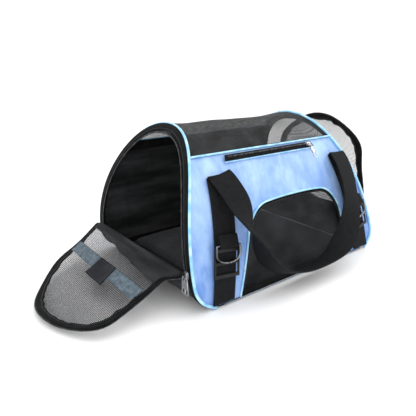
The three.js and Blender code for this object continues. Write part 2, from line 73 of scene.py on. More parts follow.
cameraData = bpy.data.cameras.new("camera")
cameraData.lens = cameraSet["lens"]
camera = bpy.data.objects.new("camera", cameraData)
camera.location = cameraSet["place"]
camera.rotation_euler = (math.radians(90 - cameraSet["pitch"]), 0, math.radians(-cameraSet["yaw"]))
bpy.context.collection.objects.link(camera)
bpy.context.scene.camera = camera
bpy.context.scene.view_settings.view_transform = "Standard"

world = bpy.data.worlds.new("studio")
bpy.context.scene.world = world
world.use_nodes = True
world.node_tree.nodes["Background"].inputs["Color"].default_value = (1, 1, 1, 1)
world.node_tree.nodes["Background"].inputs["Strength"].default_value = lightSet["world"]

for name in ("key", "rim", "top"):
    light = lightSet[name]
    lamp = bpy.data.lights.new(name, "AREA")
    lamp.size, lamp.energy = light["size"], light["power"]
    holder = bpy.data.objects.new(name, lamp)
    holder.location = light["place"]
    aim = Vector((0, 0, .1)) - Vector(light["place"])
    holder.rotation_euler = aim.to_track_quat("-Z", "Y").to_euler()
    bpy.context.collection.objects.link(holder)


class Wire:  # one socket, so that shader maths reads as sums
    def __init__(self, tree, socket):
        self.tree, self.socket = tree, socket

    def node(self, kind, inputs=None, out=0, **settings):
        made = self.tree.nodes.new("ShaderNode" + kind)
        for key, value in settings.items():
            setattr(made, key, value)
        for key, value in (inputs or {}).items():
            if isinstance(value, Wire):
                self.tree.links.new(value.socket, made.inputs[key])
            else:
                made.inputs[key].default_value = value
        return Wire(self.tree, made.outputs[out])

    def sums(self, operation, a, b=0.0):
        return self.node("Math", {0: a, 1: b}, operation=operation)

    def __add__(self, other):
        return self.sums("ADD", self, other)

    def __sub__(self, other):
        return self.sums("SUBTRACT", self, other)

    def __rsub__(self, other):
        return self.sums("SUBTRACT", other, self)

    def __mul__(self, other):
        return self.sums("MULTIPLY", self, other)

    __radd__, __rmul__ = __add__, __mul__

    def sine(self):
        return self.sums("SINE", self)

    def size(self):
        return self.sums("ABSOLUTE", self)

    def least(self, other):
        return self.sums("MINIMUM", self, other)

    def part(self, axis):
        return self.node("SeparateXYZ", {"Vector": self}, out=axis)

    def between(self, low, high):  # 0 below low, 1 above high
        inputs = {"Value": self, "From Min": low, "From Max": high}
        return self.node("MapRange", inputs, interpolation_type="SMOOTHSTEP")

    def cloud(self, scale, detail=2, stretch=(1, 1, 1), roughness=.5):
        spread = self.node("Mapping", {"Vector": self, "Scale": stretch})
        inputs = {"Vector": spread, "Scale": scale, "Detail": detail, "Roughness": roughness}
        return self.node("TexNoise", inputs)

    def tint(self, low, high):
        return self.node("Mix", {0: self, 6: low, 7: high}, out=2, data_type="RGBA")


def finish(name, build, **constants):
    material = bpy.data.materials.new(name)
    material.use_nodes = True
    tree = material.node_tree
    shader = tree.nodes["Principled BSDF"]
    for key, value in constants.items():
        shader.inputs[key.replace("_", " ")].default_value = value
    source = tree.nodes.new("ShaderNodeTexCoord")
    feeds = build(Wire(tree, source.outputs["Object"]), Wire(tree, source.outputs["UV"]))
    height, distance = feeds.pop("height")
    start = Wire(tree, source.outputs["UV"])
    feeds["Normal"] = start.node("Bump", {"Height": height, "Distance": distance, "Strength": 1.0})
    for key, value in feeds.items():
        tree.links.new(value.socket, shader.inputs[key])
    return material


def looks(colour, roughness, relief, depth):  # depth in metres
    return {"Base Color": colour, "Roughness": roughness, "height": (relief, depth)}


def rgb(*screen):  # screen colour, 0 to 255, as the linear colour
    return tuple(c / 255 / 12.92 if c < 10.3 else ((c / 255 + .055) / 1.055) ** 2.4 for c in screen) + (1,)


def ribs(cloth, axis, pitch):
    return (cloth.part(axis) * (math.pi / pitch)).sine().size()


def weaving(cloth, pitch):  # plain weave: neighbouring crossings stand up in turn
    x = (cloth.part("X") * (math.pi / pitch)).sine()
    y = (cloth.part("Y") * (math.pi / pitch)).sine()
    return x * y


def satin(place, cloth):
    # painted shade and highlight: fold and streak noise tints the satin from a shade blue to a highlight blue
    folds = cloth.cloud(16, 4, (1, .7, 1), .6)
    shadeStreaks = cloth.cloud(42, 3, (1.3, .5, 1), .6)
    shade = (folds * .7 + shadeStreaks * .3).between(.36, .64)
    # painted shade: the satin is painted darker towards the bottom and lighter towards the top
    low = (place.part("Z") * (1 / .22)).between(0, 1)
    paintedShadeAndHighlight = (shade * .62 + low * .38)
    colour = paintedShadeAndHighlight.tint(rgb(88, 134, 210), rgb(174, 206, 248))
    grain = weaving(cloth, .0007) * .35 + cloth.cloud(900, 2) * .4
    creases = cloth.cloud(55, 5, (1, .45, 1), .6)
    return looks(colour, creases * .22 + .36, creases * 6 + grain, .00022)


def oxford(dark, light, folds=(1, 1, 1), scale=45):
    def build(place, cloth):
        grain = weaving(cloth, .0008)
        wear = cloth.cloud(scale, 4, folds)
        colour = wear.between(.35, .75).tint(rgb(*dark), rgb(*light))
        return looks(colour, wear * .25 + .55, grain * .5 + cloth.cloud(30, 4) * 5, .00018)
    return build


def net(dark, light, pitch, bar):
    def build(place, cloth):
        across, along = ribs(cloth, "X", pitch), ribs(cloth, "Y", pitch)
        hole = across.between(bar - .15, bar + .15) * along.between(bar - .15, bar + .15)
        # painted sheen: the thread colour runs lighter in noise streaks for the threads' sheen highlights
        paintedSheen = cloth.cloud(26, 3)
        colour = paintedSheen.between(.3, .7).tint(rgb(*dark), rgb(*light))
        return {"Alpha": 1 - hole} | looks(colour, paintedSheen * .3 + .35, across.least(along) * -1, .0004)
    return build


def webbing(dark, light):
    def build(place, cloth):
        rows = ribs(cloth, "Y", .0016)
        twill = ((cloth.part("X") * 1.0 + cloth.part("Y") * .6) * (math.pi / .0022)).sine().size()
        edge = (cloth.part("X").size()).between(.0165, .0195)
        dust = cloth.cloud(120, 4)
        colour = (dust * .6 + rows * .4).between(.3, .8).tint(rgb(*dark), rgb(*light))
        weave = rows * .7 + twill * .5 + edge * .4
        return looks(colour, dust * .2 + .62, weave, .0003)
    return build


def cordCover(place, cloth):
    turns = ((place.part("X") + place.part("Y") + place.part("Z")) * (math.pi / .0011)).sine().size()
    soft = place.cloud(70, 3)
    colour = soft.between(.3, .7).tint(rgb(126, 196, 240), rgb(192, 233, 252))
    return looks(colour, soft * .2 + .32, turns * .4 + soft, .0002)


def moulded(place, cloth):
    grain = place.cloud(1500, 2)
    rub = place.cloud(90, 3)
    return looks(rub.between(.45, .8).tint(rgb(12, 12, 13), rgb(30, 31, 33)), rub * .25 + .3, grain, .00006)


def metal(dark, light):
    def build(place, cloth):
        brushed = place.cloud(160, 4, (1, 1, .12))
        pits = place.cloud(1200, 2)
        colour = brushed.between(.3, .7).tint(rgb(*dark), rgb(*light))
        return looks(colour, brushed * .25 + .14, brushed + pits * .4, .00004)
    return build


def fleece(place, cloth):
    pile = place.cloud(900, 4, roughness=.7)
    patches = place.cloud(22, 3)
    colour = (pile * .6 + patches * .4).between(.3, .7).tint(rgb(26, 27, 30), rgb(58, 59, 63))
    return looks(colour, pile * .15 + .8, pile + patches * 4, .0004)


def stitching(place, cloth):
    ply = ((place.part("X") - place.part("Y") + place.part("Z")) * (math.pi / .0004)).sine().size()
    colour = ply.tint(rgb(34, 35, 38), rgb(84, 86, 90))
    return looks(colour, ply * .2 + .4, ply, .0001)


blue = finish("blueSatin", satin, Sheen_Weight=.25, Sheen_Roughness=.4, Specular_IOR_Level=.45)
cover = finish("pipingCover", cordCover, Sheen_Weight=.2)
paleCover = finish("palePiping", oxford((120, 128, 138), (196, 204, 214)), Specular_IOR_Level=.3)
lining = finish("blackLining", oxford((18, 19, 20), (60, 61, 63), (.22, 1, 1), 32),
                Sheen_Weight=.03, Specular_IOR_Level=.12)
tape = finish("blackTape", oxford((9, 9, 10), (24, 25, 27)), Specular_IOR_Level=.10)
# each net's second colour is its painted sheen highlight
roofNet = finish("roofNet", net((12, 13, 14), (60, 61, 64), .0018, .54), Specular_IOR_Level=.2)
windowNet = finish("windowNet", net((16, 17, 19), (50, 51, 54), .0018, .54), Specular_IOR_Level=.15)
doorNet = finish("doorNet", net((40, 41, 44), (76, 78, 82), .0019, .41), Specular_IOR_Level=.2)
strapWeave = finish("strapWeave", webbing((9, 9, 10), (30, 31, 33)), Specular_IOR_Level=.12)
bandWeave = finish("bandWeave", webbing((26, 36, 44), (118, 134, 146)), Specular_IOR_Level=.2)
plastic = finish("blackPlastic", moulded, Specular_IOR_Level=.3)
brightMetal = finish("brightMetal", metal((112, 114, 118), (214, 217, 221)), Metallic=1.0)
darkMetal = finish("darkMetal", metal((70, 72, 76), (150, 153, 158)), Metallic=1.0)
matCloth = finish("matCloth", fleece, Sheen_Weight=.1, Specular_IOR_Level=.15)
loopCloth = finish("loopCloth", fleece, Specular_IOR_Level=.1)
coilPlastic = finish("coilPlastic", metal((34, 35, 37), (66, 67, 70)))
thread = finish("thread", stitching)
boardCard = finish("boardCard", oxford((30, 30, 32), (52, 52, 54)))
print("finishes made")


shell = {"length": .430, "half": .151, "height": .253, "rise": .136, "riseHalf": .141, "crownHalf": .101,
         "piping": .0022, "corner": .043, "seam": .65, "foot": .0024,
         "ends": {-1: (-.266, .054), 1: (.221, .098)}}

crown = shell["height"] - shell["piping"]
handles = [(shell["half"], shell["foot"]), (shell["riseHalf"], shell["rise"]),
           (shell["crownHalf"], crown), (0, crown)]  # of the wall's curve, from the foot to the crown


def wallAt(t, depth=0.0):  # half width and height on the wall's curve, depth inwards
    a, b, c, d = (1 - t) ** 3, 3 * t * (1 - t) ** 2, 3 * t * t * (1 - t), t ** 3
    y, z = (a * handles[0][i] + b * handles[1][i] + c * handles[2][i] + d * handles[3][i] for i in (0, 1))
    e, f, g = 3 * (1 - t) ** 2, 6 * t * (1 - t), 3 * t * t
    dy, dz = (e * (handles[1][i] - handles[0][i]) + f * (handles[2][i] - handles[1][i])
              + g * (handles[3][i] - handles[2][i]) for i in (0, 1))
    length = math.hypot(dy, dz)
    return y - depth * dz / length, z + depth * dy / length


def wallSlope(t):
    (ya, za), (yb, zb) = wallAt(max(t - .004, 0)), wallAt(min(t + .004, 1))
    return Vector((0, yb - ya, zb - za)).normalized()


steps = np.linspace(0, 1, 600)
tables = {}


def wallTurn(height, depth=0.0):  # where the wall's curve reaches a height
    key = round(depth * 1e5)
    if key not in tables:
        tables[key] = [wallAt(t, depth)[1] for t in steps]
    return float(np.interp(height, tables[key], steps))


def runsAlong(points):  # length along a line at each of its points
    return np.concatenate([[0], np.cumsum([math.dist(a, b) for a, b in zip(points[:-1], points[1:])])])


lengths = runsAlong([wallAt(t) for t in steps])


def wallRun(t):  # length along the wall's curve
    return float(np.interp(t, steps, lengths))


def archAt(s, depth=0.0):  # s from -1 at the near foot to 1 at the far foot
    y, z = wallAt(1 - abs(s), depth)
    return (-y if s < 0 else y), z


def endAt(end, z, margin=0.0):
    slope, setback = shell["ends"][end]
    bend = (setback - slope * shell["height"]) / shell["height"] ** 2
    drop = max(shell["corner"] - max(z, 0), 0)
    corner = shell["corner"] - math.sqrt(max((shell["corner"] - margin) ** 2 - drop ** 2, 0))
    return end * (shell["length"] / 2 - (slope * z + bend * z * z + corner))


def mix(a, b, t):
    return a + (b - a) * t


def smooth(t):
    t = min(max(t, 0), 1)
    return t * t * (3 - 2 * t)


def lump(x, y, seed, size):  # soft noise from -1 to 1
    return noise.noise(Vector((x / size + seed, y / size - seed, seed * 1.7)))


def place(piece, body, stands, *materials):
    for material in materials:
        piece.data.materials.append(material)
    bpy.context.collection.objects.link(piece)
    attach(piece, body)
    if stands:
        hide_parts(*stands)
    return piece


def toObject(name, shape, frame=None):
    if frame:
        bmesh.ops.transform(shape, matrix=frame, verts=shape.verts)
    mesh = bpy.data.meshes.new(name)
    shape.to_mesh(mesh)
    shape.free()
    for face in mesh.polygons:
        face.use_smooth = True
    return bpy.data.objects.new(name, mesh)


def cloth(name, cells, put, flat, facing, thick=0.0, offset=-1, lined=False, weld=False):
    shape = bmesh.new()
    layer = shape.loops.layers.uv.new("UVMap")
    bmesh.ops.create_grid(shape, x_segments=cells[0], y_segments=cells[1], size=.5)
    spots = {v: (v.co.x + .5, v.co.y + .5) for v in shape.verts}
    for face in shape.faces:
        for loop in face.loops:
            loop[layer].uv = flat(*spots[loop.vert])
    for v, spot in spots.items():
        v.co = put(*spot)
    if weld:
        bmesh.ops.remove_doubles(shape, verts=shape.verts, dist=1e-6)
    shape.normal_update()
    if sum(face.normal.dot(facing(face.calc_center_median())) for face in shape.faces) < 0:
        bmesh.ops.reverse_faces(shape, faces=shape.faces)
    piece = toObject(name, shape)
    if thick:
        walls = piece.modifiers.new("thickness", "SOLIDIFY")
        walls.thickness, walls.offset = thick, offset
        walls.use_even_offset = False
        if lined:
            walls.material_offset = walls.material_offset_rim = 1
    return piece


def tube(name, points, radius, closed=False):
    line = bpy.data.curves.new(name + "Line", "CURVE")
    line.dimensions = "3D"
    line.bevel_depth, line.bevel_resolution = radius, 3
    line.use_fill_caps = True
    spline = line.splines.new("NURBS" if not closed else "POLY")
    spline.points.add(len(points) - 1)
    for spot, co in zip(spline.points, points):
        spot.co = (*co, 1)
    spline.use_cyclic_u = closed
    if not closed:
        spline.order_u, spline.use_endpoint_u, spline.resolution_u = 4, True, 2
    holder = bpy.data.objects.new(name + "Line", line)
    mesh = bpy.data.meshes.new_from_object(holder)
    bpy.data.objects.remove(holder)
    shape = bmesh.new()
    shape.from_mesh(mesh)
    bpy.data.meshes.remove(mesh)
    bmesh.ops.remove_doubles(shape, verts=shape.verts, dist=1e-6)
    bmesh.ops.recalc_face_normals(shape, faces=shape.faces)
    return toObject(name, shape)


def runOf(points):
    return sum((Vector(b) - Vector(a)).length for a, b in zip(points[:-1], points[1:]))


def sewn(piece):  # reads a sheet's flat pattern from its UVs into an array, and does nothing more with it
    spots = np.array([loop.uv[:] for loop in piece.data.uv_layers[0].data])


def sewRow(name, points, out, body):  # a row of stitches standing a hair out of the cloth
    place(scatter(name, stitch, pathFrames(points, out, .0036)), body, (), thread)


def scatter(name, grain, spots):  # copies of one small shape at each matrix
    shape = bmesh.new()
    for spot in spots:
        first = len(shape.verts)
        shape.from_mesh(grain)
        shape.verts.ensure_lookup_table()
        bmesh.ops.transform(shape, matrix=spot, verts=shape.verts[first:])
    return toObject(name, shape)


def zipTeeth(name, points, up, body):
    place(scatter(name, tooth, pathFrames(points, up, zipSet["pitch"])), body, (), coilPlastic)


def blockGrain(name, size, round):
    shape = bmesh.new()
    addBlock(shape, size, (0, 0, 0))
    bevelled(shape, shape.edges[:], round, 1)
    mesh = bpy.data.meshes.new(name)
    shape.to_mesh(mesh)
    shape.free()
    return mesh


def addBlock(shape, size, spot):
    made = bmesh.ops.create_cube(shape, size=1)
    bmesh.ops.scale(shape, vec=size, verts=made["verts"])
    bmesh.ops.translate(shape, vec=spot, verts=made["verts"])


def bevelled(shape, edges, width, segments=2):
    bmesh.ops.bevel(shape, geom=edges, offset=width, offset_type="OFFSET", segments=segments, profile=.5,
                    affect="EDGES", material=-1)


def axes(x, y, z, at):
    return Matrix(((x.x, y.x, z.x, at.x), (x.y, y.y, z.y, at.y), (x.z, y.z, z.z, at.z), (0, 0, 0, 1)))


def outOfAxis(point):
    return Vector((0, point.y, point.z - .09))


tooth = blockGrain("tooth", (.0011, .0026, .0014), .0003)
stitch = blockGrain("stitch", (.0026, .0006, .0005), .0002)


def pathFrames(points, up, pitch):  # a matrix every pitch along a line, X along it and Z near up
    frames, spare = [], 0.0
    for a, b in zip(points[:-1], points[1:]):
        run = (b - a).length
        while spare < run:
            at = a.lerp(b, spare / run)
            along = (b - a).normalized()
            lift = up(at) if callable(up) else up
            across = lift.cross(along).normalized()
            frames.append(axes(along, across, along.cross(across), at))
            spare += pitch
        spare -= run
    return frames


sides = (("near", -1), ("far", 1))
ends = (("front", -1), ("rear", 1))


panelSet = {"cells": (176, 34), "farCells": (150, 90),
            "thick": .0022, "margin": .003, "puff": .0026, "fine": .0016, "gather": .0010,
            "pull": .0026, "creases": .0024,
            "window": {"centre": -.003, "base": .136, "shoulder": .108, "shoulderHeight": .100, "top": .138,
                       "crownHalf": .060, "round": .016}}
seamZ = wallAt(shell["seam"])[1]
footZ = shell["foot"] + shell["piping"] + .0004


def arcPoints(start, bend, stop, count):
    return [((1 - t) ** 2 * start[0] + 2 * t * (1 - t) * bend[0] + t * t * stop[0],
             (1 - t) ** 2 * start[1] + 2 * t * (1 - t) * bend[1] + t * t * stop[1])
            for t in (i / count for i in range(count + 1))]


def windowRim(low):
    w = panelSet["window"]
    half = [(w["shoulder"], w["shoulderHeight"])]
    crownSide = (w["crownHalf"], w["top"] - .001)
    half += arcPoints(half[0], (w["shoulder"] - w["round"], w["top"] - .002), crownSide, 16)[1:]
    half += arcPoints(crownSide, (w["crownHalf"] * .5, w["top"] + .0014), (0, w["top"] + .001), 10)[1:]
    foot = w["base"] - (w["base"] - w["shoulder"]) * low / w["shoulderHeight"]
    leg = [(foot, low)] + half
    return [(w["centre"] - x, z) for x, z in leg] + [(w["centre"] + x, z) for x, z in reversed(leg[:-1])]


rim = windowRim(footZ)
legShare = .28


def along(points, start, stop):  # a function of 0 to 1 along part of a line
    run = runsAlong(points)
    low, high = run[start], run[stop]
    return lambda t: tuple(float(np.interp(low + (high - low) * t, run, axis)) for axis in zip(*points))


rimParts = (along(rim, 0, 1), along(rim, 1, len(rim) - 2), along(rim, len(rim) - 2, len(rim) - 1))


def onRim(u):
    if u < legShare:
        return rimParts[0](u / legShare)
    if u > 1 - legShare:
        return rimParts[2]((u - 1 + legShare) / legShare)
    return rimParts[1]((u - legShare) / (1 - 2 * legShare))


topZ = wallAt(shell["seam"] - .004)[1]


def onEdge(u):  # the panel's outer edge: up the front end, along the roof seam, down the rear end
    margin = panelSet["margin"]
    if u < legShare:
        z = mix(footZ, topZ, u / legShare)
        return endAt(-1, z, margin), z
    if u > 1 - legShare:
        z = mix(topZ, footZ, (u - 1 + legShare) / legShare)
        return endAt(1, z, margin), z
    t = (u - legShare) / (1 - 2 * legShare)
    return mix(endAt(-1, topZ, margin), endAt(1, topZ, margin), t), topZ


def clothRipple(x, z, side):  # how far the satin sinks from the true wall, in metres
    front, rear = endAt(-1, z, 0), endAt(1, z, 0)
    toEnd = min(x - front, rear - x)
    toTop = seamZ - z
    soft = .5 + .5 * lump(x, z * .8, 3 + side, .042)
    fine = abs(lump(x * 1.4, z * .6, 9 + side, .026))
    gather = (.5 + .5 * math.sin(x * 2 * math.pi / .024 + 5 * lump(x, z, 5, .06))) * math.exp(-toTop / .030)
    pull = (.5 + .5 * math.sin((x * .8 + .30 * z) * 2 * math.pi / .024 + 5 * lump(x, z, 7 + side, .05)))
    lower = pull * smooth((z - .01) / .03) * math.exp(-max(z - .07, 0) / .05) * math.exp(-toEnd / .08)
    crease = math.exp(-((toEnd - .012 - .004 * lump(0, z, 2 + side, .05)) / .0030) ** 2)
    crease = crease * smooth((z - .02) / .03) * smooth((.17 - z) / .05)  # only up the middle of an end
    depth = sum(panelSet[name] * share for name, share in (
        ("puff", soft), ("fine", fine), ("gather", gather), ("pull", lower), ("creases", crease)))
    fade = smooth(toEnd / .006) * smooth(toTop / .005) * smooth((z - footZ) / .006)
    return depth * fade


def sidePanel(label, side):
    def spot(u, v):
        if side > 0:
            z = mix(footZ, topZ, v)
            return mix(endAt(-1, z, panelSet["margin"]), endAt(1, z, panelSet["margin"]), u), z
        (xa, za), (xb, zb) = onRim(u), onEdge(u)
        return mix(xa, xb, v), mix(za, zb, v)

    def put(u, v):
        x, z = spot(u, v)
        sink = clothRipple(x, z, side) * (smooth(v / .08) if side < 0 else 1) + .0001
        y, lift = wallAt(wallTurn(z), sink)
        return x, side * y, lift

    panel = cloth(label + "SidePanel", panelSet["cells" if side < 0 else "farCells"], put,
                  lambda u, v: wallFlat(*spot(u, v)), outOfAxis, panelSet["thick"] * .7, lined=True)
    place(panel, "bag", [label + "_side_panel"], blue, lining)
    sewn(panel)


tapeSet = {"below": .045, "above": .018, "deep": .0088, "shallow": .0030, "footHigh": .0150, "footLow": .0024,
           "footDeep": .0092, "footLap": .006, "thick": .0006}


def seamTape(label, side):  # black tapes inside the bag, along the roof seam and along the base
    def topPut(u, v):
        t = mix(shell["seam"] - tapeSet["below"], shell["seam"] + tapeSet["above"], v)
        depth = mix(tapeSet["deep"], tapeSet["shallow"], smooth(v * 1.3))  # stays behind the panel's folds
        y, z = wallAt(t, depth + .0004 * lump(u * 6, v, 33 + side, .5))
        return mix(endAt(-1, z, .004), endAt(1, z, .004), u), side * y, z

    def footPut(u, v):
        z = mix(tapeSet["footHigh"], tapeSet["footLow"], smooth(v * 2))
        y = wallAt(wallTurn(max(z, .004)), tapeSet["footDeep"])[0] - tapeSet["footLap"] * smooth(v * 2 - 1)
        return mix(endAt(-1, z, .006), endAt(1, z, .006), u), side * y, z

    for name, cells, put, flat in (("SeamTape", (60, 5), topPut, (.36, .012)),
                                   ("FootTape", (60, 8), footPut, (.38, .022))):
        strip = cloth(label + name, cells, put, lambda u, v: (u * flat[0], v * flat[1]),
                      lambda c: Vector((0, -side, 0)), tapeSet["thick"])
        place(strip, "bag", (), tape)


def wallFlat(x, z):
    return x, wallRun(wallTurn(z))


windowSet = {"cells": (120, 26), "thick": .0002, "depth": .0012, "billow": .0022, "hem": .010}


def windowSheet(label, side):
    def spot(u, v):
        x, z = onRim(u)
        low = mix(rim[0][0], rim[-1][0], u)
        return mix(low, x, v), mix(footZ, z, v)

    def put(u, v):
        x, z = spot(u, v)
        slack = windowSet["billow"] * (.5 + .5 * lump(x, z, 21 + side, .06))
        slack = slack * smooth(v / .15) * smooth((1 - v) / .1)
        y, lift = wallAt(wallTurn(z), windowSet["depth"] + slack)
        return x, side * y, lift

    sheet = cloth(label + "Window", windowSet["cells"], put, lambda u, v: wallFlat(*spot(u, v)), outOfAxis,
                  windowSet["thick"], weld=True)
    place(sheet, "bag", [label + "_window_mesh"], windowNet)
    sewn(sheet)

    def hemPut(u, v):  # the dark hem that closes the window along the base
        z = footZ + windowSet["hem"] * v
        x = mix(rim[0][0] + .004, rim[-1][0] - .004, u)
        y, lift = wallAt(wallTurn(z), .0007 - .0006 * math.sin(math.pi * v) - .0002 * lump(x, z, 31, .02))
        return x, side * y, lift

    hem = cloth(label + "WindowHem", (90, 6), hemPut, lambda u, v: (u * .27, v * windowSet["hem"]), outOfAxis,
                .0006)
    place(hem, "bag", (), tape)

    def bindPut(u, v):  # black binding inside the window's piping
        x, z = onRim(u)
        xa, za = onRim(max(u - .004, 0))
        xb, zb = onRim(min(u + .004, 1))
        length = math.hypot(xb - xa, zb - za)
        reach = mix(-.0010, -.0062 - .0006 * lump(x, z, 41, .02), v)
        x, z = x - (zb - za) / length * reach, z + (xb - xa) / length * reach
        y, lift = wallAt(wallTurn(z), .0006 - .0006 * math.sin(math.pi * v))
        return x, side * y, lift

    binding = cloth(label + "WindowBinding", (150, 5), bindPut, lambda u, v: (u * .42, v * .005), outOfAxis,
                    .0008)
    place(binding, "bag", (), tape)
    line = [Vector(bindPut(i / 260, .8)) + Vector((0, side * .0006, 0)) for i in range(8, 253)]
    sewRow(label + "WindowStitches", line, Vector((0, side, .0001)), "bag")


roofSet = {"cells": (110, 60), "thick": .0002, "sag": .0030, "wave": .0028}


def roofSheet():
    reach = 1 - shell["seam"] - .004

    def put(u, v):
        s = mix(-reach, reach, v)
        y, z = archAt(s)
        x = mix(endAt(-1, z, .003), endAt(1, z, .003), u)
        hold = smooth(u / .2) * smooth((1 - u) / .2) * smooth((1 - abs(s) / reach) / .25)
        sink = (roofSet["sag"] + roofSet["wave"] * lump(x * .6, y * 1.6, 51, .05)) * hold + .0006
        y, z = archAt(s, sink)
        return x, y, z

    def flat(u, v):
        s = mix(-reach, reach, v)
        y, z = archAt(s)
        return mix(endAt(-1, z), endAt(1, z), u), math.copysign(wallRun(1) - wallRun(1 - abs(s)), s)

    roof = cloth("roofNet", roofSet["cells"], put, flat, outOfAxis, roofSet["thick"])
    place(roof, "bag", ["roof_mesh"], roofNet)
    sewn(roof)


for label, side in sides:
    sidePanel(label, side)
    seamTape(label, side)
windowSheet("near", -1)
roofSheet()
print("panels, windows and roof made")


pipingSet = {"end": .0024, "seam": .0016, "base": .0013, "behind": .0032}


def piping(name, points, radius, node, material=cover):
    place(tube(name, points, radius), "bag", [node], material)


for label, side in sides:
    standOff = -pipingSet["seam"]
    y, z = wallAt(shell["seam"], standOff)
    margin = panelSet["margin"]
    seam = [(mix(endAt(-1, seamZ, margin), endAt(1, seamZ, margin), i / 40), side * y, z) for i in range(41)]
    piping(label + "SeamPiping", seam, pipingSet["seam"], label + "_seam_piping")
    foot = shell["length"] / 2 - shell["corner"] - .004
    line = [(mix(-foot, foot, i / 30), side * shell["half"], shell["foot"]) for i in range(31)]
    piping(label + "BasePiping", line, pipingSet["base"], label + "_base_piping", paleCover)
    if side > 0:
        continue
    line = []
    for i in range(91):
        x, z = onRim(i / 90)
        y, lift = wallAt(wallTurn(z), standOff + .0004)
        line.append((x, side * y, lift))
    piping(label + "WindowPiping", line, pipingSet["seam"], label + "_window_piping")

for label, end in ends:
    line = []
    for i in range(121):
        y, z = archAt(mix(-1, 1, i / 120))
        line.append((endAt(end, z) - end * pipingSet["behind"], y, z))
    piping(label + "EndPiping", line, pipingSet["end"], label + "_end_piping")


bandSet = {"outer": -.0014, "lean": .0014, "inner": .0100, "bulge": .0012, "thick": .0016, "low": .0080,
           "back": .0006}
zipSet = {"outer": .0108, "width": .0026, "back": .0004, "thick": .0008, "pitch": .0016, "low": .0576,
          "run": .56}
hoopSet = {"reach": .93, "depth": .007, "back": .0046, "radius": .0015}
sillSet = {"low": .0026, "high": .0582, "depth": .0106, "width": .28, "back": .0010, "thick": .0014}


def archStrip(name, end, outer, inner, low, back, cells, thick, move=None, wobble=0.0, bulge=0.0, lean=0.0):
    start = 1 - wallTurn(low, outer)

    def put(u, v):
        s = mix(-start, start, u)
        depth = mix(outer - lean * s, inner, v) + wobble * lump(s * 2, v * .1, 61 + end, .12) * v
        y, z = archAt(s, depth)
        point = Vector((endAt(end, z) - end * (back - bulge * math.sin(math.pi * v)), y, z))
        return move(point) if move else point

    def flat(u, v):
        return mix(0, zipSet["run"], u), mix(0, inner - outer, v)

    facing = move.facing if move else Vector((end, 0, 0))
    return put, cloth(name, cells, put, flat, lambda c: facing, thick)


for label, end in ends:
    outwards = Vector((end, 0, 0))
    put, band = archStrip(label + "EndBand", end, bandSet["outer"], bandSet["inner"], bandSet["low"],
                          bandSet["back"], (150, 8), bandSet["thick"], bulge=bandSet["bulge"],
                          lean=bandSet["lean"])
    place(band, "bag", [label + "_end_band"], tape)
    line = [Vector(put(i / 260, .72)) + outwards * .0003 for i in range(261)]
    sewRow(label + "BandStitches", line, Vector((end, 0, .0001)), "bag")
    put, strip = archStrip(label + "BagZip", end, zipSet["outer"] - .0006, zipSet["outer"] + zipSet["width"],
                           zipSet["low"], zipSet["back"], (150, 3), zipSet["thick"])
    place(strip, "bag", [label + "_bag_zip"], tape)
    line = [Vector(put(i / 220, .86)) + outwards * .0006 for i in range(221)]
    zipTeeth(label + "BagZipTeeth", line, Vector((end, 0, .0001)), "bag")
    line = []
    for i in range(121):
        y, z = archAt(mix(-hoopSet["reach"], hoopSet["reach"], i / 120), hoopSet["depth"])
        line.append((endAt(end, z) - end * hoopSet["back"], y, z))
    place(tube(label + "Hoop", line, hoopSet["radius"]), "bag", [label + "_hoop"], tape)

    def sillPut(u, v, end=end):
        z = mix(sillSet["low"], sillSet["high"], v ** 1.2)
        half = wallAt(wallTurn(z, sillSet["depth"]), sillSet["depth"])[0] - .0004
        y = mix(-half, half, u)
        slack = .0012 * lump(y, z, 71 + end, .04) + .0006 * lump(y, z, 73 + end, .015)
        return endAt(end, z) - end * (sillSet["back"] + slack * smooth(v / .15) * smooth((1 - v) / .12)), y, z

    rise = runOf([sillPut(.5, i / 20) for i in range(21)])
    sill = cloth(label + "Sill", (80, 20), sillPut, lambda u, v: (u * sillSet["width"], v * rise),
                 lambda c: outwards, sillSet["thick"])
    place(sill, "bag", [label + "_sill"], lining)
    sewn(sill)
print("ends made")


doorSet = {"sill": .057, "inset": .0142, "foot": .0584, "binding": .009, "zipWidth": .0026,
           "strip": {-1: .028, 1: .010}, "slant": {-1: .75, 1: 0}, "frontTip": .007, "rearTilt": 4,
           "band": (.068, .024), "patch": (.050, .038, .006),
           "boxy": .17, "skew": .022, "lift": .006, "slack": {-1: .958, 1: .950}}


def hingeOf(end):
    return Vector((endAt(end, doorSet["sill"]), 0, doorSet["sill"]))


def swingOf(end):
    hinge = hingeOf(end)
    top = wallAt(1, doorSet["inset"])[1]
    lean = math.atan2((hinge.x - endAt(end, top)) * end, top - hinge.z)
    chord = math.hypot(hinge.x - endAt(end, top), top - hinge.z)
    if end < 0:
        return -(lean + math.pi / 2 + math.asin((doorSet["sill"] - doorSet["frontTip"]) / chord))
    return lean + math.radians(doorSet["rearTilt"])


